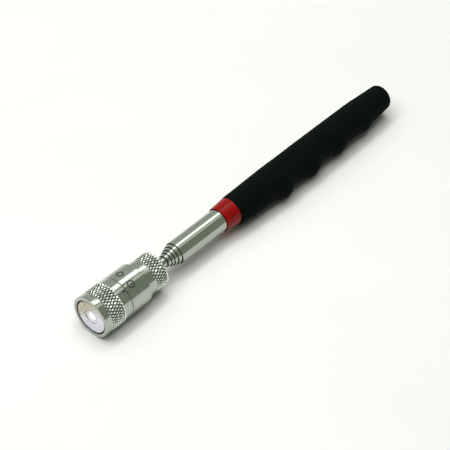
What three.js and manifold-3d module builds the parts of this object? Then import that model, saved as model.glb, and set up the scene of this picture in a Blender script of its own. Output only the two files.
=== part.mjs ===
// A telescoping magnetic pickup tool with a lamp in the middle of its magnet.
// It lies along X: the magnet faces -X and the foam grip ends at +X. Millimetres, +Z up, and the
// surface that it lies on is z = 0. Along the tool, "s" is the distance back from the front face.
import * as THREE from "three";
import { mergeVertices } from "three/addons/utils/BufferGeometryUtils.js";
import Module from "manifold-3d";

const wasm = await Module();
wasm.setup();

// ---- driving dimensions ----
const LENGTH = 182;
const BEZEL_RADIUS = 9.5;
const AXIS_HEIGHT = BEZEL_RADIUS;

const BEZEL_LENGTH = 15.25;
const BEZEL_STEP = 11;
const HEAD_RADIUS = 9.2;
const HEAD_FRONT = 15.45;
const HEAD_REAR = 26.2;
const TAIL_RADIUS = 7.9;
const TAIL_FRONT = 26.35;
const TAIL_REAR = 37.25;
const SOCKET_RADIUS = 7.5;
const SPIGOT_RADIUS = 7.3;
const TAIL_SOCKET_FRONT = 21.4;
const TAIL_SPIGOT_FRONT = 21.8;
const TAIL_SOCKET_RADIUS = 7.25;
const TAIL_SPIGOT_RADIUS = 7.05;
const CELL_BORE_RADIUS = 6.35;

const MAGNET_POCKET_RADIUS = 7.75;
const MAGNET_POCKET_DEPTH = 6.2;
const WEB_REAR = 9;
const WEB_HOLE_RADIUS = 3.4;
const MAGNET_RADIUS = 7.5;
const MAGNET_HOLE_RADIUS = 3.15;
const MAGNET_FRONT = 0.2;
const MAGNET_REAR = 5.9;

const LAMP_RADIUS = 2.5;
const LAMP_TIP = 0.35;
const LAMP_FLANGE_FRONT = 7.9;
const LAMP_FLANGE_REAR = 8.8;
const LEAD_RADIUS = 0.25;
const LEAD_SPACING = 2.54;
const BOARD_FRONT = 9.4;
const BOARD_REAR = 10.4;

const CELL_RADIUS = 5.8;
const CELL_HEIGHT = 5.4;
const CELL_PITCH = 5.5;
const CELL_COUNT = 3;
const FIRST_CELL = 12.9;

// The telescoping tubes, from the outermost in: outer radius, front end and rear end.
const TUBES = [
  { radius: 5.1, front: 48.75, rear: 178 },
  { radius: 4.5, front: 47, rear: 176 },
  { radius: 3.95, front: 45.4, rear: 174.2 },
  { radius: 3.45, front: 44.05, rear: 172.6 },
  { radius: 2.95, front: 42.4, rear: 170.8 },
  { radius: 2.2, front: 37.7, rear: 168.8 },
];
const TUBE_WALL = 0.3;
const LIP_LENGTH = 1.2;
const LIP_GAP = 0.05;
const BUSH_LENGTH = 3;
const SHIM_LENGTH = 7.5;
const SLIDING_GAP = 0.04;

const COLLAR_FRONT = 75.1;
const COLLAR_REAR = 82.6;
const COLLAR_FRONT_RADIUS = 5.6;
const COLLAR_REAR_RADIUS = 6.3;
const COLLAR_BORE = 5.2;
const COLLAR_TONGUE = 86.6;

const GRIP_FRONT = 82.8;
const GRIP_EDGE = 0.8;
const GRIP_END_ROUND = 2.4;
const GRIP_BORE = 5.25;
const GRIP_BORE_END = 178.4;
// How far the grip reaches from the tool's axis: on its back, and on the side for the fingers.
const GRIP_BACK = [[GRIP_FRONT, 6.4], [109, 6.8], [136, 6.8], [160, 6.75], [LENGTH, 5.9]];
const GRIP_FINGERS = [
  [GRIP_FRONT, 7.4], [93, 7.9], [102, 8.1], [110.5, 10.2], [116.7, 7.85], [120.5, 8.1],
  [128, 9.8], [135, 7.45], [139.5, 7.55], [145.6, 9.1], [151.5, 7.5], [157.5, 7.5],
  [163.4, 8.2], [170, 6.7], [LENGTH, 5.9],
];
const FINGER_SIDE_DEG = 52; // how far below the -Y direction the finger side points

const HEAD_FACETS = 32;
const TUBE_FACETS = 28;
const SMALL_FACETS = 20;

// ---- materials ----
const metal = (color, roughness) =>
  new THREE.MeshStandardMaterial({ color, roughness, metalness: 0.95 });
const plain = (color, roughness) =>
  new THREE.MeshStandardMaterial({ color, roughness, metalness: 0 });

const TURNED_ALUMINIUM = metal(0xc4c5bf, 0.32);
const NICKEL = metal(0xcfcbd0, 0.18);
const CHROME = metal(0xd2d3cf, 0.12);
const BRASS = metal(0xb8964a, 0.35);
const SPRING_STEEL = metal(0x9a9c9d, 0.35);
const CELL_STEEL = metal(0xc9ccd0, 0.22);
const RED_PLASTIC = plain(0xb30f0f, 0.22);
const BLACK_FOAM = plain(0x111413, 0.9);
const BLACK_RUBBER = plain(0x161616, 0.8);
const WHITE_PLASTIC = plain(0xeeeeea, 0.5);
const GREEN_BOARD = plain(0x1d5a37, 0.6);
const SLEEVE_PLASTIC = plain(0x2a2a2c, 0.6);
const LAMP_RESIN = plain(0xf6f5ff, 0.1);

// ---- shapes ----

// A solid turned about the tool's axis. The profile's points are [s, radius]: back along the outside,
// then forward along the bore, or from axis to axis.
function turned(name, material, profile, facets = HEAD_FACETS) {
  const points = profile.map(([s, radius]) => new THREE.Vector2(radius, s));
  const geometry = new THREE.LatheGeometry(points, facets).rotateZ(-Math.PI / 2);
  return named(name, geometry, material);
}

function named(name, geometry, material) {
  const mesh = new THREE.Mesh(geometry, material);
  mesh.name = name;
  return mesh;
}

// A ring of rectangular section.
function ring(name, material, front, rear, bore, radius, facets) {
  return turned(
    name,
    material,
    [[front, bore], [front, radius], [rear, radius], [rear, bore], [front, bore]],
    facets,
  );
}

// Turns a shape drawn in X and Y and extruded along Z so that it runs along X from s.
function alongAxis(geometry, s) {
  return geometry.rotateY(Math.PI / 2).translate(s, 0, 0);
}

function solidOf(geometry) {
  const bare = geometry.clone();
  bare.deleteAttribute("normal");
  bare.deleteAttribute("uv");
  const merged = mergeVertices(bare, 1e-4);
  return new wasm.Manifold(
    new wasm.Mesh({
      numProp: 3,
      vertProperties: merged.attributes.position.array,
      triVerts: new Uint32Array(merged.index.array),
    }),
  );
}

function geometryOf(solid) {
  const mesh = solid.getMesh();
  const geometry = new THREE.BufferGeometry();
  geometry.setAttribute("position", new THREE.BufferAttribute(mesh.vertProperties, 3));
  geometry.setIndex(new THREE.BufferAttribute(mesh.triVerts, 1));
  geometry.computeVertexNormals();
  return geometry;
}

// A smooth outline through a list of [s, radius] highs and lows.
function smoothRadius(outline, s) {
  const next = Math.max(1, outline.findIndex(([end]) => end >= s));
  const [s0, r0] = outline[next - 1];
  const [s1, r1] = outline[next];
  const part = (s - s0) / (s1 - s0);
  return r0 + ((r1 - r0) * (1 - Math.cos(Math.PI * part))) / 2;
}

// ---- bezel: it twists on the head and switches the lamp ----

function frontBezel() {
  return turned("front_bezel", TURNED_ALUMINIUM, [
    [0, MAGNET_POCKET_RADIUS],
    [0, BEZEL_RADIUS - 0.3],
    [0.3, BEZEL_RADIUS],
    [BEZEL_STEP, BEZEL_RADIUS],
    [BEZEL_STEP + 0.3, HEAD_RADIUS],
    [BEZEL_LENGTH, HEAD_RADIUS],
    [BEZEL_LENGTH, SOCKET_RADIUS],
    [WEB_REAR, SOCKET_RADIUS],
    [WEB_REAR, WEB_HOLE_RADIUS],
    [MAGNET_POCKET_DEPTH, WEB_HOLE_RADIUS],
    [MAGNET_POCKET_DEPTH, MAGNET_POCKET_RADIUS],
    [0, MAGNET_POCKET_RADIUS],
  ]);
}

function ringMagnet() {
  const chamfer = 0.25;
  return turned("ring_magnet", NICKEL, [
    [MAGNET_FRONT, MAGNET_HOLE_RADIUS + chamfer],
    [MAGNET_FRONT, MAGNET_RADIUS - chamfer],
    [MAGNET_FRONT + chamfer, MAGNET_RADIUS],
    [MAGNET_REAR, MAGNET_RADIUS],
    [MAGNET_REAR, MAGNET_HOLE_RADIUS],
    [MAGNET_FRONT + chamfer, MAGNET_HOLE_RADIUS],
    [MAGNET_FRONT, MAGNET_HOLE_RADIUS + chamfer],
  ]);
}

function ledLamp() {
  const domeSteps = 5;
  const profile = [];
  for (let step = 0; step <= domeSteps; step++) {
    const angle = (step / domeSteps) * (Math.PI / 2);
    profile.push([
      LAMP_TIP + LAMP_RADIUS * (1 - Math.cos(angle)),
      step === 0 ? 0 : LAMP_RADIUS * Math.sin(angle),
    ]);
  }
  const flangeRadius = LAMP_RADIUS + 0.4;
  profile.push(
    [LAMP_FLANGE_FRONT, LAMP_RADIUS],
    [LAMP_FLANGE_FRONT, flangeRadius],
    [LAMP_FLANGE_REAR, flangeRadius],
    [LAMP_FLANGE_REAR, 0],
  );
  return turned("led_lamp", LAMP_RESIN, profile, SMALL_FACETS);
}

function ledBoard() {
  const disc = new THREE.Shape().absarc(0, 0, SOCKET_RADIUS - 0.3, 0, 2 * Math.PI, false);
  for (const side of [-1, 1]) {
    const hole = new THREE.Path();
    hole.absarc(0, (side * LEAD_SPACING) / 2, 2 * LEAD_RADIUS, 0, 2 * Math.PI, true);
    disc.holes.push(hole);
  }
  const geometry = new THREE.ExtrudeGeometry(disc, {
    depth: BOARD_REAR - BOARD_FRONT,
    bevelEnabled: false,
    curveSegments: 8,
  });
  return named("led_board", alongAxis(geometry, BOARD_FRONT), GREEN_BOARD);
}

function ledLead(number, side) {
  const front = LAMP_FLANGE_REAR + 0.05;
  const rear = BOARD_REAR + 0.5;
  const geometry = new THREE.CylinderGeometry(LEAD_RADIUS, LEAD_RADIUS, rear - front, 8)
    .rotateZ(-Math.PI / 2)
    .translate((front + rear) / 2, (side * LEAD_SPACING) / 2, 0);
  return named(`led_lead_${number}`, geometry, SPRING_STEEL);
}

// A stamped conical washer behind the board that presses on the first cell.
function frontContact() {
  const sheet = 0.3;
  const front = BOARD_REAR + 0.05;
  const rear = FIRST_CELL - 0.3;
  const wide = 5;
  const narrow = 2.6;
  return turned("front_contact", BRASS, [
    [front, wide - sheet],
    [front, wide],
    [front + sheet, wide],
    [rear, narrow + sheet],
    [rear, narrow],
    [rear - sheet, narrow],
    [front, wide - sheet],
  ], SMALL_FACETS);
}

function bezelParts() {
  const bush = ring("led_bush", WHITE_PLASTIC, 0.6, 7, LAMP_RADIUS + 0.1, 3.05, SMALL_FACETS);
  return [
    frontBezel(), ringMagnet(), ledLamp(), bush, ledBoard(), ledLead(1, -1), ledLead(2, 1),
    frontContact(),
  ];
}

// ---- head: barrel, tail cap and the cells inside ----

const RING_GROOVE_FRONT = 12.8;
const RING_GROOVE_WIDTH = 0.9;
const RING_GROOVE_RADIUS = 6.75;
const RING_SECTION = 0.32;

function headBody() {
  const grooveRear = RING_GROOVE_FRONT + RING_GROOVE_WIDTH;
  return turned("head_body", TURNED_ALUMINIUM, [
    [11, CELL_BORE_RADIUS],
    [11, SPIGOT_RADIUS - 0.2],
    [11.2, SPIGOT_RADIUS],
    [RING_GROOVE_FRONT, SPIGOT_RADIUS],
    [RING_GROOVE_FRONT, RING_GROOVE_RADIUS],
    [grooveRear, RING_GROOVE_RADIUS],
    [grooveRear, SPIGOT_RADIUS],
    [HEAD_FRONT, SPIGOT_RADIUS],
    [HEAD_FRONT, HEAD_RADIUS - 0.2],
    [HEAD_FRONT + 0.2, HEAD_RADIUS],
    [HEAD_REAR - 0.5, HEAD_RADIUS],
    [HEAD_REAR, HEAD_RADIUS - 0.5],
    [HEAD_REAR, TAIL_SOCKET_RADIUS],
    [TAIL_SOCKET_FRONT, TAIL_SOCKET_RADIUS],
    [TAIL_SOCKET_FRONT, CELL_BORE_RADIUS],
    [11, CELL_BORE_RADIUS],
  ]);
}

const TAIL_POCKET_REAR = 32.3;
const STUD_HOLE_RADIUS = 2.3;

function tailCap() {
  return turned("tail_cap", TURNED_ALUMINIUM, [
    [TAIL_SPIGOT_FRONT, CELL_BORE_RADIUS],
    [TAIL_SPIGOT_FRONT, TAIL_SPIGOT_RADIUS],
    [TAIL_FRONT, TAIL_SPIGOT_RADIUS],
    [TAIL_FRONT, TAIL_RADIUS],
    [TAIL_REAR - 0.6, TAIL_RADIUS],
    [TAIL_REAR, TAIL_RADIUS - 0.6],
    [TAIL_REAR, STUD_HOLE_RADIUS],
    [TAIL_POCKET_REAR, STUD_HOLE_RADIUS],
    [TAIL_POCKET_REAR, CELL_BORE_RADIUS],
    [TAIL_SPIGOT_FRONT, CELL_BORE_RADIUS],
  ]);
}

function bezelRing() {
  const radius = SOCKET_RADIUS - RING_SECTION - 0.06;
  const geometry = new THREE.TorusGeometry(radius, RING_SECTION, 6, HEAD_FACETS);
  const middle = RING_GROOVE_FRONT + RING_GROOVE_WIDTH / 2;
  return named("bezel_o_ring", alongAxis(geometry, middle), BLACK_RUBBER);
}

// A button cell: a wide can, and the narrower cap of its other pole towards the tail.
function buttonCell(index) {
  const front = FIRST_CELL + index * CELL_PITCH;
  const rear = front + CELL_HEIGHT;
  return turned(`button_cell_${index + 1}`, CELL_STEEL, [
    [front, 0],
    [front, CELL_RADIUS - 0.4],
    [front + 0.4, CELL_RADIUS],
    [rear - 0.9, CELL_RADIUS],
    [rear - 0.6, CELL_RADIUS - 0.6],
    [rear, CELL_RADIUS - 1],
    [rear, 0],
  ], SMALL_FACETS);
}

class ConicalCoil extends THREE.Curve {
  getPoint(part) {
    const turns = 2.5;
    const angle = 2 * Math.PI * turns * part;
    const radius = 2.6 + 2.2 * part;
    const s = 29.8 + 2 * part;
    return new THREE.Vector3(s, radius * Math.cos(angle), radius * Math.sin(angle));
  }
}

function batterySpring() {
  const wire = new THREE.Shape().absarc(0, 0, 0.3, 0, 2 * Math.PI, false);
  const geometry = new THREE.ExtrudeGeometry(wire, {
    steps: 34,
    curveSegments: 3,
    extrudePath: new ConicalCoil(),
  });
  return named("battery_spring", geometry, SPRING_STEEL);
}

// The threaded plug that joins the innermost tube to the tail cap.
function mastStud() {
  const shoulder = TAIL_REAR + 0.3;
  return turned("mast_stud", SPRING_STEEL, [
    [32.7, 0],
    [32.7, 1.9],
    [33, 2.15],
    [shoulder, 2.15],
    [shoulder, 1.8],
    [45, 1.8],
    [45, 0],
  ], SMALL_FACETS);
}

function headParts() {
  const sleeve = ring("battery_sleeve", SLEEVE_PLASTIC, 11.5, 30.5, 5.95, 6.2, TUBE_FACETS);
  const parts = [headBody(), tailCap(), bezelRing(), sleeve, batterySpring(), mastStud()];
  for (let index = 0; index < CELL_COUNT; index++) parts.push(buttonCell(index));
  return parts;
}

// ---- mast: six tubes, each with a stop ring and a spring sleeve at its rear end ----

const boreOf = (tube) => tube.radius - TUBE_WALL;

// The front end of every tube but the innermost is rolled in over the next one.
function telescopeTube(index) {
  const { radius, front, rear } = TUBES[index];
  const bore = boreOf(TUBES[index]);
  const inner = TUBES[index + 1];
  const lip = inner ? inner.radius + LIP_GAP : bore;
  const profile = [
    [front, lip],
    [front, radius - 0.2],
    [front + 0.2, radius],
    [rear, radius],
    [rear, bore],
  ];
  if (inner) profile.push([front + LIP_LENGTH, bore], [front + LIP_LENGTH, lip]);
  profile.push([front, lip]);
  return turned(`tube_${index + 1}`, CHROME, profile, TUBE_FACETS);
}

function stopBush(index) {
  const { radius, rear } = TUBES[index];
  const outside = boreOf(TUBES[index - 1]) - SLIDING_GAP;
  const end = rear - 0.5;
  const name = `stop_bush_${index + 1}`;
  return ring(name, BRASS, end - BUSH_LENGTH, end, radius + SLIDING_GAP, outside, TUBE_FACETS);
}

function frictionShim(index) {
  const { radius, rear } = TUBES[index];
  const inside = radius + SLIDING_GAP;
  const outside = boreOf(TUBES[index - 1]) - SLIDING_GAP;
  const halfSlot = Math.PI / 18;
  const section = new THREE.Shape();
  section.absarc(0, 0, outside, halfSlot, 2 * Math.PI - halfSlot, false);
  section.absarc(0, 0, inside, 2 * Math.PI - halfSlot, halfSlot, true);
  const geometry = new THREE.ExtrudeGeometry(section, {
    depth: SHIM_LENGTH,
    bevelEnabled: false,
    curveSegments: TUBE_FACETS / 2,
  });
  const front = rear - 1 - BUSH_LENGTH - SHIM_LENGTH;
  return named(`friction_shim_${index + 1}`, alongAxis(geometry, front), SPRING_STEEL);
}

function mastParts() {
  return TUBES.flatMap((_, index) =>
    index === 0
      ? [telescopeTube(index)]
      : [telescopeTube(index), stopBush(index), frictionShim(index)],
  );
}

// ---- handle: collar, foam grip and the plug in the big tube's end ----

function gripCollar() {
  return turned("grip_collar", RED_PLASTIC, [
    [COLLAR_FRONT, COLLAR_BORE],
    [COLLAR_FRONT, COLLAR_FRONT_RADIUS - 0.15],
    [COLLAR_FRONT + 0.15, COLLAR_FRONT_RADIUS],
    [COLLAR_REAR, COLLAR_REAR_RADIUS],
    [COLLAR_REAR, COLLAR_FRONT_RADIUS],
    [COLLAR_TONGUE, COLLAR_FRONT_RADIUS],
    [COLLAR_TONGUE, COLLAR_BORE],
    [COLLAR_FRONT, COLLAR_BORE],
  ], TUBE_FACETS);
}

function endPlug() {
  const bore = boreOf(TUBES[0]) - SLIDING_GAP;
  const rear = TUBES[0].rear;
  return turned("end_plug", BLACK_RUBBER, [
    [rear - 0.8, 0],
    [rear - 0.8, bore - 0.8],
    [rear - 1.6, bore - 0.8],
    [rear - 1.6, bore],
    [rear, bore],
    [rear, 0],
  ], TUBE_FACETS);
}

// How far the grip's edges are rounded in at its two ends.
function endInset(s) {
  const fromFront = s - GRIP_FRONT;
  if (fromFront < GRIP_EDGE) return roundedInset(GRIP_EDGE, fromFront);
  const fromEnd = LENGTH - s;
  return fromEnd < GRIP_END_ROUND ? roundedInset(GRIP_END_ROUND, fromEnd) : 0;
}

function roundedInset(radius, depth) {
  return radius - Math.sqrt(Math.max(0, radius ** 2 - (radius - depth) ** 2));
}

function gripStations() {
  const stations = [0, 0.3, 1].map((part) => GRIP_FRONT + part * GRIP_EDGE);
  const spans = 38;
  const first = GRIP_FRONT + GRIP_EDGE;
  const last = LENGTH - GRIP_END_ROUND;
  for (let span = 1; span <= spans; span++) {
    stations.push(first + (span / spans) * (last - first));
  }
  for (const part of [0.45, 0.8, 1]) stations.push(last + part * GRIP_END_ROUND);
  return stations;
}

// Each cross-section is a circle that touches the grip's back and its finger side.
function gripBlank() {
  const facets = 26;
  const stations = gripStations();
  const side = THREE.MathUtils.degToRad(FINGER_SIDE_DEG);
  const position = [];
  const index = [];
  for (const s of stations) {
    const back = smoothRadius(GRIP_BACK, s) - endInset(s);
    const fingers = smoothRadius(GRIP_FINGERS, s) - endInset(s);
    const radius = (back + fingers) / 2;
    const offset = (fingers - back) / 2;
    for (let facet = 0; facet < facets; facet++) {
      const angle = (2 * Math.PI * facet) / facets;
      position.push(
        s,
        radius * Math.cos(angle) - offset * Math.cos(side),
        radius * Math.sin(angle) - offset * Math.sin(side),
      );
    }
  }
  for (let station = 0; station < stations.length - 1; station++) {
    for (let facet = 0; facet < facets; facet++) {
      const here = station * facets + facet;
      const beside = station * facets + ((facet + 1) % facets);
      index.push(here, beside, here + facets, beside, beside + facets, here + facets);
    }
  }
  const lastRing = (stations.length - 1) * facets;
  for (let facet = 1; facet < facets - 1; facet++) {
    index.push(0, facet + 1, facet);
    index.push(lastRing, lastRing + facet, lastRing + facet + 1);
  }
  const geometry = new THREE.BufferGeometry();
  geometry.setAttribute("position", new THREE.Float32BufferAttribute(position, 3));
  geometry.setIndex(index);
  return geometry;
}

// The blank with its bore, and pressed flat where its ridges rest on the surface below.
function foamGrip() {
  const tongueBore = COLLAR_FRONT_RADIUS + 0.15;
  const bore = turned("", BLACK_FOAM, [
    [GRIP_FRONT - 1, 0],
    [GRIP_FRONT - 1, tongueBore],
    [COLLAR_TONGUE + 0.3, tongueBore],
    [COLLAR_TONGUE + 0.3, GRIP_BORE],
    [GRIP_BORE_END, GRIP_BORE],
    [GRIP_BORE_END, 0],
  ], TUBE_FACETS);
  const above = new THREE.BoxGeometry(2 * LENGTH, LENGTH, LENGTH);
  above.translate(LENGTH / 2, 0, LENGTH / 2 - AXIS_HEIGHT);
  const solid = solidOf(gripBlank()).intersect(solidOf(above)).subtract(solidOf(bore.geometry));
  return named("foam_grip", geometryOf(solid), BLACK_FOAM);
}

// ---- assembly ----

const onAxis = new THREE.Group();
onAxis.position.set(-LENGTH / 2, 0, AXIS_HEIGHT);
onAxis.add(...bezelParts(), ...headParts(), ...mastParts());
onAxis.add(gripCollar(), foamGrip(), endPlug());

const tool = new THREE.Group();
tool.add(onAxis);

export default tool;
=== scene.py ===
"""Looks of a telescoping magnetic pickup tool with a lamp in its magnet.

The tool lies along X with its magnet towards -X. Distances along it, "s", and radii are in
millimetres: s is counted back from the front face, and radii from the tool's axis.
"""
import math

import bpy
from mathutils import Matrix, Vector, noise


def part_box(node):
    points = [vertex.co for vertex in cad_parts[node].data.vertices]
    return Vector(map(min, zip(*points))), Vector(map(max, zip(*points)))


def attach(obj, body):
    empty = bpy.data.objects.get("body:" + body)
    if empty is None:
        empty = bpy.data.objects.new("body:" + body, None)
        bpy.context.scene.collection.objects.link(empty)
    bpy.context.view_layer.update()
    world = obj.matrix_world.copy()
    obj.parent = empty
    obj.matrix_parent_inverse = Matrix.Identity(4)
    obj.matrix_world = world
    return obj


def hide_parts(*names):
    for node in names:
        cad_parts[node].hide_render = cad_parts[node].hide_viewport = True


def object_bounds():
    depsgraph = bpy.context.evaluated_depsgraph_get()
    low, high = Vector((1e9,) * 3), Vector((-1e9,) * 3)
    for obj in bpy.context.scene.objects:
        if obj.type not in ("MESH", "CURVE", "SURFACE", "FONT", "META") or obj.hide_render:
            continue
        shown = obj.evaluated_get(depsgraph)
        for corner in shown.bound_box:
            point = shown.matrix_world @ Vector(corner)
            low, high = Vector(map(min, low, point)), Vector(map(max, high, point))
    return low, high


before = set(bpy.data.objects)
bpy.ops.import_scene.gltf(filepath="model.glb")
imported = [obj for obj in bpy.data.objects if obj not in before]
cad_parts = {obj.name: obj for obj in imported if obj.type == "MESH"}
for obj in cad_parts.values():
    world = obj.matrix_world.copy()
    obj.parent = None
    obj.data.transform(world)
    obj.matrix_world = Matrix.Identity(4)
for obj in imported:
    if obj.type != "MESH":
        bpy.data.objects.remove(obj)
cad_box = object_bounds()

MM = 0.001
FRONT_X = cad_box[0].x
AXIS_Z = sum(corner.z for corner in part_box("front_bezel")) / 2


def reach(node):
    """Where a round CAD node starts and ends along the tool, and its outer radius, in mm."""
    low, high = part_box(node)
    return (low.x - FRONT_X) / MM, (high.x - FRONT_X) / MM, (high.z - low.z) / 2 / MM


# ---- sizes of the detail, in mm unless a name says otherwise ----
CORNER_STEPS = 5
FINE_FACETS = 128
BEVEL = 0.1
POCKET_GAP = 0.5
LIP_GAP = 0.37
TUBE_WALL = 0.3
TUBE_COUNT = 6
KNURL_PITCH = 1.45
KNURL_ANGLE = math.radians(31)
KNURL_DEPTH = 0.40
KNURL_SAMPLES = 7
KNURL_RUN_OUT = 0.25
# Its value sets painted shade in grooves and tube mouths, and a painted highlight on groove tops.
GROOVE = "groove"  # the vertex attribute that says how deep in a groove a point is, 0 to 1
MARK_RISE = 0.05
MARK_DEPTH = 0.05
MARK_STEPS = 12
MARK_WIDTH = 0.55


# ---- materials ----

def new_material(name):
    material = bpy.data.materials.new(name)
    material.use_nodes = True
    shader = material.node_tree.nodes["Principled BSDF"]
    return material, shader


def node(material, kind, **settings):
    made = material.node_tree.nodes.new(kind)
    for key, value in settings.items():
        setattr(made, key, value)
    return made


def link(material, source, target):
    material.node_tree.links.new(source, target)


def stretched(material, scale=(1, 1, 1)):
    """Coordinates in metres, multiplied by a scale for each direction."""
    place = node(material, "ShaderNodeTexCoord")
    mapping = node(material, "ShaderNodeMapping")
    mapping.inputs["Scale"].default_value = scale
    link(material, place.outputs["Object"], mapping.inputs["Vector"])
    return mapping.outputs["Vector"]


def around(material, along, about):
    """Coordinates that follow the tool: distance along it and angle about its axis, both scaled."""
    place = node(material, "ShaderNodeTexCoord")
    parts = node(material, "ShaderNodeSeparateXYZ")
    lowered = node(material, "ShaderNodeMath", operation="SUBTRACT")
    angle = node(material, "ShaderNodeMath", operation="ARCTAN2")
    long_scale = node(material, "ShaderNodeMath", operation="MULTIPLY")
    turn_scale = node(material, "ShaderNodeMath", operation="MULTIPLY")
    joined = node(material, "ShaderNodeCombineXYZ")
    link(material, place.outputs["Object"], parts.inputs[0])
    link(material, parts.outputs["Z"], lowered.inputs[0])
    lowered.inputs[1].default_value = AXIS_Z
    link(material, parts.outputs["Y"], angle.inputs[0])
    link(material, lowered.outputs[0], angle.inputs[1])
    link(material, parts.outputs["X"], long_scale.inputs[0])
    long_scale.inputs[1].default_value = along
    link(material, angle.outputs[0], turn_scale.inputs[0])
    turn_scale.inputs[1].default_value = about
    link(material, long_scale.outputs[0], joined.inputs["X"])
    link(material, turn_scale.outputs[0], joined.inputs["Y"])
    return joined.outputs[0]


def noise_of(material, vector, scale, detail=3.0, roughness=0.55):
    texture = node(material, "ShaderNodeTexNoise")
    texture.inputs["Scale"].default_value = scale
    texture.inputs["Detail"].default_value = detail
    texture.inputs["Roughness"].default_value = roughness
    link(material, vector, texture.inputs["Vector"])
    return texture.outputs["Fac"]


def ranged(material, value, low, high, to_low, to_high):
    """A value from low..high spread over to_low..to_high."""
    spread = node(material, "ShaderNodeMapRange")
    link(material, value, spread.inputs["Value"])
    for key, number in (
        ("From Min", low), ("From Max", high), ("To Min", to_low), ("To Max", to_high),
    ):
        spread.inputs[key].default_value = number
    return spread.outputs["Result"]


def tinted(material, value, dark, light):
    """A colour between dark and light as value goes from 0 to 1."""
    ramp = node(material, "ShaderNodeValToRGB")
    ramp.color_ramp.elements[0].color = (*dark, 1)
    ramp.color_ramp.elements[1].color = (*light, 1)
    ramp.color_ramp.elements[0].position = 0.25
    ramp.color_ramp.elements[1].position = 0.75
    link(material, value, ramp.inputs["Fac"])
    return ramp.outputs["Color"]


def shaded(ramp, stops):
    """Gives a new colour ramp these (position, colour) stops."""
    elements = ramp.color_ramp.elements
    for _ in range(len(stops) - len(elements)):
        elements.new(0.5)
    for element, (position, colour) in zip(elements, stops):
        element.position = position
        element.color = (*colour, 1)


def bumped(material, shader, height, strength, distance):
    """Bumps the surface by a height of 0 to 1, over a distance in mm."""
    bump = node(material, "ShaderNodeBump")
    bump.inputs["Strength"].default_value = strength
    bump.inputs["Distance"].default_value = distance * MM
    link(material, height, bump.inputs["Height"])
    link(material, bump.outputs["Normal"], shader.inputs["Normal"])


def groove_shade_and_highlight(material, colour):
    """The colour with painted light: a painted highlight on the tops of grooves, and painted shade
    that darkens their bottoms.
    """
    depth = node(material, "ShaderNodeAttribute", attribute_name=GROOVE)
    ramp = node(material, "ShaderNodeValToRGB")
    # Painted highlight on the groove tops, painted shade down in the grooves.
    highlight_scale = 2.5
    shades = ((0, 0.4), (0.03, 1), (0.45, 0.76), (0.85, 0.01))
    shaded(ramp, [(position, (shade, shade, shade)) for position, shade in shades])
    link(material, depth.outputs["Fac"], ramp.inputs["Fac"])
    brighter = node(material, "ShaderNodeVectorMath", operation="SCALE")
    link(material, ramp.outputs["Color"], brighter.inputs[0])
    brighter.inputs["Scale"].default_value = highlight_scale
    worn_and_shaded = node(material, "ShaderNodeVectorMath", operation="MULTIPLY")
    link(material, colour, worn_and_shaded.inputs[0])
    link(material, brighter.outputs[0], worn_and_shaded.inputs[1])
    return worn_and_shaded.outputs[0]


def turned_metal(name, dark, light, rough, ridge):
    """Lathe-turned metal: fine rings round the axis, handling marks, and painted shade in its
    grooves with a painted highlight on their tops.
    """
    material, shader = new_material(name)
    rings = noise_of(material, around(material, 9000, 2), 1.0, 2.0)
    smudge = noise_of(material, stretched(material), 260, 5.0)
    # Painted shade darkens the grooves and a painted highlight lightens their tops.
    worn_and_shaded = groove_shade_and_highlight(material, tinted(material, smudge, dark, light))
    link(material, worn_and_shaded, shader.inputs["Base Color"])
    link(material, ranged(material, smudge, 0.3, 0.7, *rough), shader.inputs["Roughness"])
    shader.inputs["Metallic"].default_value = 1
    bumped(material, shader, rings, 0.35, ridge)
    return material


def drawn_metal(name, dark, light, rough, ridge):
    """Drawn and plated tube: fine lines along the axis that vary in gloss."""
    material, shader = new_material(name)
    lines = noise_of(material, around(material, 14, 46), 1.0, 4.0)
    # Painted shade blackens the inside of the tube's mouth.
    worn_and_shaded = groove_shade_and_highlight(material, tinted(material, lines, dark, light))
    link(material, worn_and_shaded, shader.inputs["Base Color"])
    link(material, ranged(material, lines, 0.3, 0.7, *rough), shader.inputs["Roughness"])
    shader.inputs["Metallic"].default_value = 1
    bumped(material, shader, lines, 0.3, ridge)
    return material


def moulded(name, dark, light, rough, gloss=0.5):
    """Moulded plastic or rubber with a faint grain."""
    material, shader = new_material(name)
    cloud = noise_of(material, stretched(material), 420, 4.0)
    link(material, tinted(material, cloud, dark, light), shader.inputs["Base Color"])
    shader.inputs["Roughness"].default_value = rough
    shader.inputs["Specular IOR Level"].default_value = gloss
    bumped(material, shader, cloud, 0.25, 0.01)
    return material


def foam_material():
    """Closed-cell foam rubber: tiny pores, a soft nap and a faint bloom on the high spots."""
    material, shader = new_material("black_foam")
    flat = stretched(material)
    pores = node(material, "ShaderNodeTexVoronoi", feature="F1")
    pores.inputs["Scale"].default_value = 2600
    link(material, flat, pores.inputs["Vector"])
    nap = noise_of(material, flat, 900, 6.0, 0.7)
    mixed = node(material, "ShaderNodeMath", operation="MULTIPLY_ADD")
    link(material, nap, mixed.inputs[0])
    mixed.inputs[1].default_value = 0.8
    link(material, pores.outputs["Distance"], mixed.inputs[2])
    height = mixed.outputs[0]
    colour = tinted(material, height, (0.0006, 0.0012, 0.0009), (0.0026, 0.0044, 0.0036))
    link(material, colour, shader.inputs["Base Color"])
    link(material, ranged(material, nap, 0.3, 0.7, 0.72, 0.95), shader.inputs["Roughness"])
    shader.inputs["Specular IOR Level"].default_value = 0.05
    bumped(material, shader, height, 0.6, 0.12)
    return material


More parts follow.
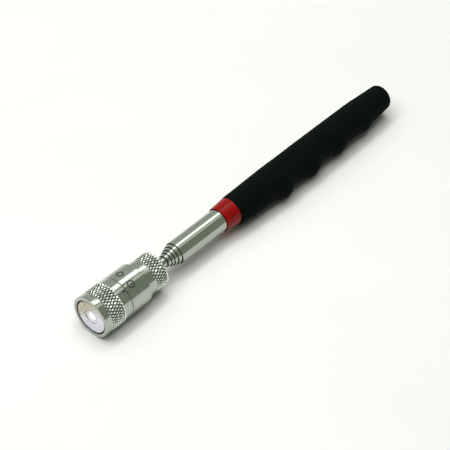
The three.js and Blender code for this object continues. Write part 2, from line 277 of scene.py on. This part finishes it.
def magnet_material():
    """Nickel plate with a painted reflection: tan on its upper side and cool lilac below, with
    scratches across its face.
    """
    material, shader = new_material("magnet_nickel")
    reflection_low, reflection_high, unevenness = 9 * MM, 23 * MM, 9 * MM
    place = node(material, "ShaderNodeTexCoord")
    parts = node(material, "ShaderNodeSeparateXYZ")
    link(material, place.outputs["Object"], parts.inputs[0])
    cloud = noise_of(material, place.outputs["Object"], 150, 4.0)
    shifted = node(material, "ShaderNodeMath", operation="MULTIPLY_ADD")
    link(material, cloud, shifted.inputs[0])
    shifted.inputs[1].default_value = unevenness
    sideways = node(material, "ShaderNodeMath", operation="ADD")
    link(material, parts.outputs["Z"], sideways.inputs[0])
    link(material, parts.outputs["Y"], sideways.inputs[1])
    link(material, sideways.outputs[0], shifted.inputs[2])
    height = ranged(material, shifted.outputs[0], reflection_low, reflection_high, 0, 1)
    # Painted reflection: the plate goes from lilac low on the face to tan high up.
    plate = tinted(material, height, (0.76, 0.74, 0.86), (0.47, 0.43, 0.35))
    scratch = noise_of(material, stretched(material, (1, 260, 900)), 1.0, 6.0, 0.75)
    worn_and_shaded = node(material, "ShaderNodeVectorMath", operation="SCALE")
    link(material, plate, worn_and_shaded.inputs[0])
    link(material, ranged(material, scratch, 0.34, 0.50, 0.45, 1.05), worn_and_shaded.inputs["Scale"])
    link(material, worn_and_shaded.outputs[0], shader.inputs["Base Color"])
    link(material, ranged(material, scratch, 0.3, 0.7, 0.34, 0.16), shader.inputs["Roughness"])
    shader.inputs["Metallic"].default_value = 1
    bumped(material, shader, scratch, 0.35, 0.03)
    return material


def axis_distance(material):
    """Distance from the tool's axis, in mm."""
    place = node(material, "ShaderNodeTexCoord")
    moved = node(material, "ShaderNodeVectorMath", operation="SUBTRACT")
    flat = node(material, "ShaderNodeVectorMath", operation="MULTIPLY")
    length = node(material, "ShaderNodeVectorMath", operation="LENGTH")
    link(material, place.outputs["Object"], moved.inputs[0])
    moved.inputs[1].default_value = (0, 0, AXIS_Z)
    link(material, moved.outputs[0], flat.inputs[0])
    flat.inputs[1].default_value = (0, 1 / MM, 1 / MM)
    link(material, flat.outputs[0], length.inputs[0])
    return length.outputs["Value"]


def lamp_material():
    """The lit lens of the lamp: resin that glows white in the middle and lilac at its rim."""
    material, shader = new_material("lamp_resin")
    white_within, lilac_beyond, unevenness = 2.3, 3.7, 1.6
    swirl = noise_of(material, stretched(material), 700, 3.0)
    spread = node(material, "ShaderNodeMath", operation="MULTIPLY_ADD")
    link(material, swirl, spread.inputs[0])
    spread.inputs[1].default_value = unevenness
    link(material, axis_distance(material), spread.inputs[2])
    rim = ranged(material, spread.outputs[0], white_within, lilac_beyond, 0, 1)
    glow = tinted(material, rim, (0.86, 0.83, 0.86), (0.22, 0.19, 0.26))
    link(material, glow, shader.inputs["Emission Color"])
    shader.inputs["Emission Strength"].default_value = 1.0
    shader.inputs["Base Color"].default_value = (0.3, 0.29, 0.33, 1)
    shader.inputs["Roughness"].default_value = 0.08
    shader.inputs["Coat Weight"].default_value = 0.6
    bumped(material, shader, swirl, 0.2, 0.02)
    return material


def board_material():
    """Green circuit board with a fine weave."""
    material, shader = new_material("green_board")
    weave = node(material, "ShaderNodeTexWave", wave_type="BANDS", bands_direction="DIAGONAL")
    weave.inputs["Scale"].default_value = 900
    link(material, stretched(material), weave.inputs["Vector"])
    colour = tinted(material, weave.outputs["Fac"], (0.012, 0.10, 0.035), (0.02, 0.16, 0.06))
    link(material, colour, shader.inputs["Base Color"])
    shader.inputs["Roughness"].default_value = 0.35
    return material


def floor_material():
    """A smooth white table, faintly mottled."""
    material, shader = new_material("white_table")
    cloud = noise_of(material, stretched(material), 9, 3.0)
    colour = tinted(material, cloud, (0.86, 0.87, 0.85), (0.9, 0.91, 0.895))
    link(material, colour, shader.inputs["Base Color"])
    shader.inputs["Roughness"].default_value = 0.75
    shader.inputs["Specular IOR Level"].default_value = 0.2
    return material


ALUMINIUM = turned_metal(
    "turned_aluminium", (0.38, 0.40, 0.365), (0.46, 0.48, 0.44), rough=(0.07, 0.15), ridge=0.01)
BRASS = turned_metal(
    "brass", (0.60, 0.45, 0.18), (0.75, 0.58, 0.26), rough=(0.25, 0.4), ridge=0.01)
CELL_STEEL = turned_metal(
    "cell_steel", (0.62, 0.64, 0.66), (0.74, 0.76, 0.78), rough=(0.15, 0.25), ridge=0.008)
CHROME = drawn_metal(
    "chrome", (0.35, 0.37, 0.33), (0.47, 0.49, 0.44), rough=(0.05, 0.12), ridge=0.012)
SPRING_STEEL = drawn_metal(
    "spring_steel", (0.38, 0.39, 0.40), (0.52, 0.53, 0.54), rough=(0.22, 0.38), ridge=0.01)
RED_PLASTIC = moulded(
    "red_plastic", (0.225, 0.0014, 0.001), (0.28, 0.0024, 0.0016), rough=0.13, gloss=0.16)
BLACK_RUBBER = moulded("black_rubber", (0.008, 0.008, 0.008), (0.018, 0.018, 0.018), rough=0.75)
WHITE_PLASTIC = moulded("white_plastic", (0.80, 0.80, 0.80), (0.90, 0.90, 0.89), rough=0.45)
SLEEVE_PLASTIC = moulded("sleeve_plastic", (0.02, 0.02, 0.022), (0.035, 0.035, 0.04), rough=0.5)
MARK_PAINT = moulded("mark_paint", (0.012, 0.013, 0.012), (0.03, 0.03, 0.03), rough=0.6)
NICKEL = magnet_material()
FOAM = foam_material()
LAMP = lamp_material()
BOARD = board_material()


# ---- mesh building ----

def rounded(corners, closed):
    """The outline through corners (s, radius, corner radius), with its corners rounded."""
    outline = []
    count = len(corners)
    for index, (s, radius, size) in enumerate(corners):
        here = Vector((s, radius))
        at_end = not closed and index in (0, count - 1)
        if size == 0 or at_end:
            outline.append(here)
            continue
        before = Vector(corners[index - 1][:2]) - here
        after = Vector(corners[(index + 1) % count][:2]) - here
        cut = min(size, before.length * 0.49, after.length * 0.49)
        start = here + before.normalized() * cut
        end = here + after.normalized() * cut
        for step in range(CORNER_STEPS + 1):
            part = step / CORNER_STEPS
            outline.append(start.lerp(here, part).lerp(here.lerp(end, part), part))
    return outline


def in_frame(s, radius, angle):
    """A point of the tool in the frame, in metres. Angle 0 is up, and 90 degrees is towards -Y."""
    return (
        FRONT_X + s * MM,
        -radius * math.sin(angle) * MM,
        AXIS_Z + radius * math.cos(angle) * MM,
    )


def mesh_piece(name, points, faces, material, sharp_deg=35):
    """A smooth-shaded piece with crisp edges where its faces meet at more than sharp_deg."""
    mesh = bpy.data.meshes.new(name)
    mesh.from_pydata(points, [], faces)
    mesh.validate()
    mesh.shade_smooth()
    mesh.set_sharp_from_angle(angle=math.radians(sharp_deg))
    mesh.materials.append(material)
    piece = bpy.data.objects.new(name, mesh)
    bpy.context.scene.collection.objects.link(piece)
    return piece


def revolved(name, outline, material, closed=True, facets=FINE_FACETS, relief=None, painted_shade_below=None):
    """A solid turned about the axis.

    relief(s, radius, angle) is how far the surface is cut in, and anything below the radius
    given as the last argument is painted black as painted shade.
    """
    points = []
    depths = []
    rows = []
    for s, radius in outline:
        if radius < 1e-6:
            rows.append([len(points)] * facets)
            points.append(in_frame(s, 0, 0))
            depths.append(0)
            continue
        rows.append([len(points) + facet for facet in range(facets)])
        for facet in range(facets):
            angle = 2 * math.pi * facet / facets
            cut = relief(s, radius, angle) if relief else 0
            points.append(in_frame(s, radius - cut, angle))
            # Points below that radius are painted black: painted shade.
            depths.append(1 if painted_shade_below and radius < painted_shade_below else cut / KNURL_DEPTH)
    if closed:
        rows.append(rows[0])
    faces = []
    for front, back in zip(rows, rows[1:]):
        for facet in range(facets):
            beside = (facet + 1) % facets
            corners = (front[facet], front[beside], back[beside], back[facet])
            faces.append(tuple(dict.fromkeys(corners)))
    piece = mesh_piece(name, points, faces, material)
    piece.data.attributes.new(GROOVE, "FLOAT", "POINT").data.foreach_set("value", depths)
    return piece


def finished(piece, body, slot, *nodes):
    """Puts the piece on its body, in the place of CAD nodes where any are named. The slot is not
    used.
    """
    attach(piece, body)
    if nodes:
        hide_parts(*nodes)
    return piece


# ---- knurling ----

def knurl(first, last, radius):
    """Cuts of a diamond knurl between two places, and how many facets it needs round it."""
    teeth = round(2 * math.pi * radius / KNURL_PITCH)
    twist = math.tan(KNURL_ANGLE) / radius
    flat_top = 1.04

    def groove(phase):
        return abs((phase * teeth / (2 * math.pi)) % 1 - 0.5) * 2

    def cut(s, at_radius, angle):
        if s < first or s > last or at_radius < radius - 0.05:
            return 0
        turn = (s - first) * twist
        height = min(groove(angle + turn), groove(angle - turn))
        run_out = min(1, (s - first) / KNURL_RUN_OUT, (last - s) / KNURL_RUN_OUT)
        return KNURL_DEPTH * run_out * (1 - min(1, flat_top * height))

    return cut, teeth * KNURL_SAMPLES


def knurl_rows(first, last, radius):
    """The rows of the outline along a knurled band."""
    count = round((last - first) / (KNURL_PITCH / KNURL_SAMPLES))
    return [(first + (last - first) * row / count, radius, 0) for row in range(count + 1)]


# ---- bezel: turned shell, ring magnet and lamp ----

_, BEZEL_REAR, BEZEL_RADIUS = reach("front_bezel")
HEAD_FRONT, HEAD_REAR, HEAD_RADIUS = reach("head_body")
POCKET_FLOOR = 6.2
SOCKET_FLOOR = 9
SOCKET_RADIUS = 7.5
LAMP_BORE = 3.4
BEZEL_KNURL = (3.15, 10.75)


def front_bezel():
    first, last = BEZEL_KNURL
    pocket_radius = reach("ring_magnet")[2] + POCKET_GAP
    corners = [
        (POCKET_FLOOR, pocket_radius, 0),
        (0, pocket_radius, 0.2),
        (0, BEZEL_RADIUS, 0.3),
        *knurl_rows(first, last, BEZEL_RADIUS),
        (last + 0.15, BEZEL_RADIUS, 0.05),
        (last + 0.35, HEAD_RADIUS, 0.05),
        (BEZEL_REAR, HEAD_RADIUS, 0.3),
        (BEZEL_REAR, SOCKET_RADIUS, BEVEL),
        (SOCKET_FLOOR, SOCKET_RADIUS, 0),
        (SOCKET_FLOOR, LAMP_BORE, 0),
        (POCKET_FLOOR, LAMP_BORE, 0),
    ]
    cut, facets = knurl(first, last, BEZEL_RADIUS)
    piece = revolved("bezel_shell", rounded(corners, True), ALUMINIUM, facets=facets, relief=cut)
    return finished(piece, "bezel", "turned_aluminium", "front_bezel")


def ring_magnet():
    front, rear, radius = reach("ring_magnet")
    hole = reach("led_bush")[2] + 0.1
    corners = [(front, hole, 0.3), (front, radius, 0.35), (rear, radius, 0.3), (rear, hole, 0.2)]
    piece = revolved("magnet_ring", rounded(corners, True), NICKEL)
    return finished(piece, "bezel", "nickel", "ring_magnet")


def lamp():
    """A domed lens on a body with a thin flange at its back."""
    tip, flange_rear, flange_radius = reach("led_lamp")
    radius = flange_radius - 0.4
    flange_front = flange_rear - 0.9
    steps = 12
    dome = []
    for step in range(steps + 1):
        angle = step / steps * math.pi / 2
        dome.append((tip + radius * (1 - math.cos(angle)), radius * math.sin(angle)))
    outline = dome + [
        (flange_front, radius), (flange_front, flange_radius),
        (flange_rear, flange_radius), (flange_rear, 0),
    ]
    piece = revolved("lamp_lens", outline, LAMP, closed=False, facets=64)
    return finished(piece, "bezel", "lamp_resin", "led_lamp")


# ---- head: barrel and tail cap ----

BATTERY_BORE = 6.35
SPIGOT_RADIUS = 7.3
O_RING_FLOOR = 6.75
O_RING_GROOVE = (12.8, 13.7)
TAIL_SOCKET_FRONT = 21.4
TAIL_SOCKET_RADIUS = 7.25
TAIL_SPIGOT_RADIUS = 7.05
TAIL_FLOOR = 32.3
STUD_BORE = 2.3
TAIL_CHAMFER = 0.45


def head_barrel():
    """A barrel whose narrow front, with its O-ring groove, sits in the bezel."""
    groove_front, groove_rear = O_RING_GROOVE
    seat = BEZEL_REAR + 0.2
    corners = [
        (HEAD_FRONT, BATTERY_BORE, BEVEL),
        (HEAD_FRONT, SPIGOT_RADIUS, 0.2),
        (groove_front, SPIGOT_RADIUS, 0),
        (groove_front, O_RING_FLOOR, 0),
        (groove_rear, O_RING_FLOOR, 0),
        (groove_rear, SPIGOT_RADIUS, 0),
        (seat, SPIGOT_RADIUS, 0),
        (seat, HEAD_RADIUS, 0.3),
        (HEAD_REAR - 0.5, HEAD_RADIUS, BEVEL),
        (HEAD_REAR, HEAD_RADIUS - 0.5, BEVEL),
        (HEAD_REAR, TAIL_SOCKET_RADIUS, BEVEL),
        (TAIL_SOCKET_FRONT, TAIL_SOCKET_RADIUS, 0),
        (TAIL_SOCKET_FRONT, BATTERY_BORE, 0),
    ]
    piece = revolved("barrel_shell", rounded(corners, True), ALUMINIUM, facets=FINE_FACETS * 2)
    return finished(piece, "head", "turned_aluminium", "head_body")


def tail():
    """The narrower cap behind the barrel, knurled near its rear end, with a bore for the mast."""
    front, rear, radius = reach("tail_cap")
    shoulder = HEAD_REAR + 0.15
    first, last = shoulder + 4.0, rear - TAIL_CHAMFER
    corners = [
        (front, BATTERY_BORE, 0),
        (front, TAIL_SPIGOT_RADIUS, BEVEL),
        (shoulder, TAIL_SPIGOT_RADIUS, 0),
        (shoulder, radius, BEVEL),
        *knurl_rows(first, last, radius),
        (rear, radius - TAIL_CHAMFER, BEVEL),
        (rear, STUD_BORE + 0.6, 0.3),
        (rear - 0.5, STUD_BORE, BEVEL),
        (TAIL_FLOOR, STUD_BORE, 0),
        (TAIL_FLOOR, BATTERY_BORE, 0),
    ]
    cut, facets = knurl(first, last, radius)
    piece = revolved("tail_shell", rounded(corners, True), ALUMINIUM, facets=facets, relief=cut)
    return finished(piece, "head", "turned_aluminium", "tail_cap")


# ---- mast ----

def mast_tube(number, body):
    """A thin tube whose front end is rolled in to a lip, just clear of the next tube."""
    front, rear, radius = reach(f"tube_{number}")
    bore = radius - TUBE_WALL
    lip = bore
    corners = [(front, radius, 0.28), (rear, radius, 0.05), (rear, bore, 0.05)]
    if number < TUBE_COUNT:
        lip = reach(f"tube_{number + 1}")[2] + LIP_GAP
        corners += [(front + 1.1, bore, 0.2), (front + 1.0, lip, BEVEL)]
    corners.append((front, lip, 0.2))
    outline = rounded(corners, True)
    # Inside its lip the tube is painted black: painted shade in its mouth.
    piece = revolved(f"mast_tube_{number}", outline, CHROME, facets=96, painted_shade_below=lip + 0.04)
    return finished(piece, body, "chrome", f"tube_{number}")


# ---- handle: collar and foam grip ----

GRIP_FRONT, GRIP_REAR, _ = reach("foam_grip")
GRIP_BACK = [(GRIP_FRONT, 6.4), (109, 6.8), (136, 6.8), (160, 6.75), (GRIP_REAR, 5.9)]
GRIP_FINGERS = [
    (GRIP_FRONT, 7.4), (93, 7.9), (102, 8.1), (110.5, 10.1), (116.7, 7.85), (120.5, 8.1),
    (128, 9.8), (135, 7.45), (139.5, 7.55), (145.6, 9.1), (151.5, 7.5), (157.5, 7.5),
    (163.4, 8.2), (170, 6.7), (GRIP_REAR, 5.9),
]
FINGER_SIDE = math.radians(52)
GRIP_FRONT_ROUND = 0.8
GRIP_REAR_ROUND = 2.4
GRIP_SPANS = 230
GRIP_FACETS = 112
GRIP_BORE = 5.25
GRIP_BORE_END = 178.4
COLLAR_BORE = 5.2
COLLAR_NARROW = 5.6
TONGUE_BORE = 5.75
TONGUE_LENGTH = 4
NAP = 0.05


def collar():
    """A glossy ferrule that flares towards the grip, with a tongue inside the foam."""
    front, rear, radius = reach("grip_collar")
    shoulder = GRIP_FRONT - 0.15
    corners = [
        (front + 1.5, COLLAR_BORE, 0),
        (front, COLLAR_BORE + 0.22, 0.05),
        (front, COLLAR_NARROW, 0.08),
        (shoulder, radius, 0.2),
        (shoulder, COLLAR_NARROW, 0),
        (rear, COLLAR_NARROW, BEVEL),
        (rear, COLLAR_BORE, BEVEL),
    ]
    piece = revolved("collar_ferrule", rounded(corners, True), RED_PLASTIC)
    return finished(piece, "handle", "red_plastic", "grip_collar")


def smooth_radius(outline, s):
    """A smooth outline through a list of (s, radius) highs and lows."""
    for (s0, r0), (s1, r1) in zip(outline, outline[1:]):
        if s <= s1:
            break
    part = min(1, max(0, (s - s0) / (s1 - s0)))
    return r0 + (r1 - r0) * (1 - math.cos(math.pi * part)) / 2


def end_inset(s):
    """How far the grip's edges are rounded in at its two ends."""
    for size, depth in ((GRIP_FRONT_ROUND, s - GRIP_FRONT), (GRIP_REAR_ROUND, GRIP_REAR - s)):
        if depth < size:
            return size - math.sqrt(max(0, size**2 - (size - depth) ** 2))
    return 0


def grip_stations():
    """Places of the rings along the grip, closer together on its two rounded edges."""
    first, last = GRIP_FRONT + GRIP_FRONT_ROUND, GRIP_REAR - GRIP_REAR_ROUND
    front_edge = [first - GRIP_FRONT_ROUND * math.cos(math.pi * step / 10) for step in range(5)]
    middle = [first + (last - first) * span / GRIP_SPANS for span in range(GRIP_SPANS + 1)]
    rear_edge = [last + GRIP_REAR_ROUND * math.sin(math.pi * step / 14) for step in range(1, 8)]
    return front_edge + middle + rear_edge


def grip_skin_ring(s):
    """A ring of the foam's skin: a circle from back to finger side, napped, flat on the table."""
    back = smooth_radius(GRIP_BACK, s) - end_inset(s)
    fingers = smooth_radius(GRIP_FINGERS, s) - end_inset(s)
    radius = (back + fingers) / 2
    offset = (fingers - back) / 2
    ring = []
    for facet in range(GRIP_FACETS):
        angle = 2 * math.pi * facet / GRIP_FACETS
        y = radius * math.cos(angle) - offset * math.cos(FINGER_SIDE)
        z = radius * math.sin(angle) - offset * math.sin(FINGER_SIDE)
        nap = NAP * noise.fractal(Vector((s, y, z)) * 0.9, 1.0, 2.0, 3) - NAP
        inward = Vector((y, z)).normalized() * nap
        height = max(AXIS_Z / MM + z + inward.y, 0.001)
        ring.append((FRONT_X + s * MM, (y + inward.x) * MM, height * MM))
    return ring


def grip_bore_ring(s, radius):
    ring = []
    for facet in range(GRIP_FACETS):
        angle = 2 * math.pi * facet / GRIP_FACETS
        y = radius * math.cos(angle) * MM
        z = AXIS_Z + radius * math.sin(angle) * MM
        ring.append((FRONT_X + s * MM, y, z))
    return ring


def grip():
    """Foam with its skin, a rounded end, and a stepped bore for the collar's tongue and tube 1."""
    skin = [grip_skin_ring(s) for s in grip_stations()]
    tongue_end = GRIP_FRONT + TONGUE_LENGTH
    bore = [
        grip_bore_ring(GRIP_BORE_END, GRIP_BORE),
        grip_bore_ring(tongue_end, GRIP_BORE),
        grip_bore_ring(tongue_end, TONGUE_BORE),
        grip_bore_ring(GRIP_FRONT, TONGUE_BORE),
    ]
    rings = skin + bore
    last_skin = len(skin) - 1
    last_bore = len(rings) - 1
    pairs = [(row, row + 1) for row in range(last_bore) if row != last_skin]
    faces = []
    for one, two in pairs + [(last_bore, 0)]:
        for facet in range(GRIP_FACETS):
            beside = (facet + 1) % GRIP_FACETS
            corners = ((one, facet), (two, facet), (two, beside), (one, beside))
            faces.append(tuple(row * GRIP_FACETS + place for row, place in corners))
    rear_end = range(last_skin * GRIP_FACETS, len(skin) * GRIP_FACETS)
    bore_end = range(len(skin) * GRIP_FACETS, (len(skin) + 1) * GRIP_FACETS)
    faces.append(tuple(rear_end))
    faces.append(tuple(reversed(bore_end)))
    points = [point for ring in rings for point in ring]
    piece = mesh_piece("grip_foam", points, faces, FOAM, sharp_deg=60)
    return finished(piece, "handle", "black_foam", "foam_grip")


# ---- marks ----

def stroke(name, one_side, other_side, radius, body, looped=False):
    """A painted stroke on a round surface, between two lines of (s, degrees round).

    Its points are in four lines: 0 and 1 are under the surface, and 2 and 3 just above it.
    """
    points = []
    for rise in (-MARK_DEPTH, MARK_RISE):
        for side in (one_side, other_side):
            points += [in_frame(s, radius + rise, math.radians(turn)) for s, turn in side]
    count = len(one_side)
    spans = range(count if looped else count - 1)
    faces = []
    for low, high in ((1, 0), (2, 3), (0, 2), (3, 1)):
        for span in spans:
            beside = (span + 1) % count
            corners = ((low, span), (low, beside), (high, beside), (high, span))
            faces.append(tuple(line * count + place for line, place in corners))
    if not looped:
        for end in (0, count - 1):
            faces.append((end, count + end, 3 * count + end, 2 * count + end))
    piece = mesh_piece(name, points, faces, MARK_PAINT)
    return finished(piece, body, "black_rubber")


def across(distance, radius):
    """Degrees round the tool that a distance in mm takes up on its surface."""
    return math.degrees(distance / radius)


def bar_mark(name, s, turn, length, body):
    """A straight bar that runs along the tool."""
    half = across(MARK_WIDTH / 2, HEAD_RADIUS)
    ends = (s - length / 2, s + length / 2)
    sides = [[(end, turn + side) for end in ends] for side in (-half, half)]
    stroke(name, *sides, HEAD_RADIUS, body)


def ring_mark(name, s, turn, size, body):
    """A round ring."""
    sides = []
    for radius in (size / 2, size / 2 - MARK_WIDTH):
        side = []
        for step in range(2 * MARK_STEPS):
            angle = math.pi * step / MARK_STEPS
            sideways = across(radius * math.sin(angle), HEAD_RADIUS)
            side.append((s + radius * math.cos(angle), turn + sideways))
        sides.append(side)
    stroke(name, *sides, HEAD_RADIUS, body, looped=True)


def pointer_mark(name, s, turn, size, body):
    """A small triangle with its point towards the back, cut off just before it."""
    steps = 4
    sides = []
    for way in (-1, 1):
        side = []
        for step in range(steps + 1):
            part = step / steps
            half_width = size / 2 * (1 - 0.95 * part)
            side.append((s + size * part, turn + way * across(half_width, HEAD_RADIUS)))
        sides.append(side)
    stroke(name, *sides, HEAD_RADIUS, body)


# ---- the other CAD nodes keep their shape and get their materials ----

NODE_MATERIALS = {
    "led_bush": WHITE_PLASTIC, "led_board": BOARD, "led_lead_1": SPRING_STEEL,
    "led_lead_2": SPRING_STEEL, "front_contact": BRASS, "bezel_o_ring": BLACK_RUBBER,
    "battery_sleeve": SLEEVE_PLASTIC, "battery_spring": SPRING_STEEL, "mast_stud": SPRING_STEEL,
    "end_plug": BLACK_RUBBER,
    **{f"button_cell_{number}": CELL_STEEL for number in (1, 2, 3)},
    **{f"stop_bush_{number}": BRASS for number in range(2, TUBE_COUNT + 1)},
    **{f"friction_shim_{number}": SPRING_STEEL for number in range(2, TUBE_COUNT + 1)},
}


def dress_nodes():
    for name, material in NODE_MATERIALS.items():
        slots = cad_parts[name].data.materials
        slots.clear()
        slots.append(material)


# ---- room: table, lights and camera ----

def table_top():
    half = 6.0  # metres
    corners = [(-half, -half, 0), (half, -half, 0), (half, half, 0), (-half, half, 0)]
    piece = mesh_piece("table_top", corners, [(0, 1, 2, 3)], floor_material())


LIGHT_TINT = (1.0, 1.0, 0.98)
PANEL_LENGTH = 1.9  # metres, as are the heights and middles
GLOSS_HEIGHT = 1.0
GLOSS_MIDDLE = 0.45
WASH_HEIGHT = 1.2
WASH_MIDDLE = -0.35
ROOM_WASH = 0.2


def overhead(name, from_deg, to_deg, brightness, glossy):
    """A long panel above the tool that spans these angles from overhead towards +Y.

    A glossy panel shows only in reflections, and any other only washes over matt surfaces.
    """
    height = GLOSS_HEIGHT if glossy else WASH_HEIGHT
    middle = GLOSS_MIDDLE if glossy else WASH_MIDDLE
    low = height * math.tan(math.radians(from_deg))
    high = height * math.tan(math.radians(to_deg))
    light = bpy.data.lights.new(name, "AREA")
    light.shape = "RECTANGLE"
    light.size = PANEL_LENGTH
    light.size_y = high - low
    light.energy = brightness * math.pi * light.size * light.size_y
    light.color = LIGHT_TINT
    holder = bpy.data.objects.new(name, light)
    holder.location = (middle, (low + high) / 2, height)
    holder.visible_camera = False
    holder.visible_glossy = glossy
    holder.visible_diffuse = not glossy
    bpy.context.scene.collection.objects.link(holder)


def room_light():
    """A room that is lighter towards +Y and darker towards -Y. It lights matt surfaces less."""
    world = bpy.data.worlds.new("room")
    world.use_nodes = True
    bpy.context.scene.world = world
    tree = world.node_tree
    place = tree.nodes.new("ShaderNodeTexCoord")
    parts = tree.nodes.new("ShaderNodeSeparateXYZ")
    ramp = tree.nodes.new("ShaderNodeValToRGB")
    spread = tree.nodes.new("ShaderNodeMapRange")
    spread.inputs["From Min"].default_value = -1
    tree.links.new(place.outputs["Generated"], parts.inputs[0])
    tree.links.new(parts.outputs["Y"], spread.inputs["Value"])
    tree.links.new(spread.outputs["Result"], ramp.inputs["Fac"])
    shaded(ramp, (
        (0.0, (0.32, 0.37, 0.285)), (0.325, (0.31, 0.36, 0.275)), (0.355, (0.56, 0.60, 0.50)),
        (0.54, (0.60, 0.63, 0.55)), (0.70, (0.64, 0.68, 0.60)), (0.90, (0.56, 0.60, 0.54)),
        (1.0, (0.72, 0.76, 0.70)),
    ))
    ray = tree.nodes.new("ShaderNodeLightPath")
    strength = tree.nodes.new("ShaderNodeMapRange")
    strength.inputs["To Min"].default_value = 1
    strength.inputs["To Max"].default_value = ROOM_WASH
    tree.links.new(ray.outputs["Is Diffuse Ray"], strength.inputs["Value"])
    background = tree.nodes["Background"]
    tree.links.new(ramp.outputs["Color"], background.inputs["Color"])
    tree.links.new(strength.outputs["Result"], background.inputs["Strength"])


VIEW_AZIMUTH = math.radians(-47.3)
VIEW_ELEVATION = math.radians(44.9)
VIEW_DISTANCE = 0.903
VIEW_AIM = Vector((-0.0161, -0.0040, AXIS_Z))
LENS = 173.6  # for a sensor 36 mm wide


def camera():
    data = bpy.data.cameras.new("camera")
    data.sensor_width = 36
    data.lens = LENS
    cam = bpy.data.objects.new("camera", data)
    bpy.context.scene.collection.objects.link(cam)
    flat = math.cos(VIEW_ELEVATION)
    back = Vector((
        math.sin(VIEW_AZIMUTH) * flat, -math.cos(VIEW_AZIMUTH) * flat, math.sin(VIEW_ELEVATION),
    ))
    cam.location = VIEW_AIM + back * VIEW_DISTANCE
    cam.rotation_mode = "QUATERNION"
    cam.rotation_quaternion = (-back).to_track_quat("-Z", "Y")
    bpy.context.scene.camera = cam


camera()
table_top()
room_light()
overhead("key_wash", 8, 17, 6.7, glossy=False)
overhead("mid_wash", -24, 8, 2.5, glossy=False)
overhead("fill_wash", 17, 50, 1.2, glossy=False)
overhead("key_strip", 2.2, 23.2, 2.2, glossy=True)
overhead("thin_strip", -21, -9, 0.45, glossy=True)
bpy.context.scene.view_settings.view_transform = "Standard"

dress_nodes()
front_bezel()
ring_magnet()
lamp()
head_barrel()
tail()
TUBE_BODIES = ("handle", "section_2", "section_3", "section_4", "section_5", "head")
for number, body in enumerate(TUBE_BODIES, 1):
    mast_tube(number, body)
collar()
grip()

POINTER_PLACE = {"s": 13.7, "turn": 32.5}
ON_PLACE = {"s": 18.9, "turn": 29}
OFF_PLACE = {"s": 19.2, "turn": -12.8}
pointer_mark("mark_pointer", **POINTER_PLACE, size=1.5, body="bezel")
ring_mark("mark_on_ring", **ON_PLACE, size=3.4, body="head")
bar_mark("mark_on_bar", **ON_PLACE, length=1.3, body="head")
ring_mark("mark_off_ring", **OFF_PLACE, size=3.2, body="head")
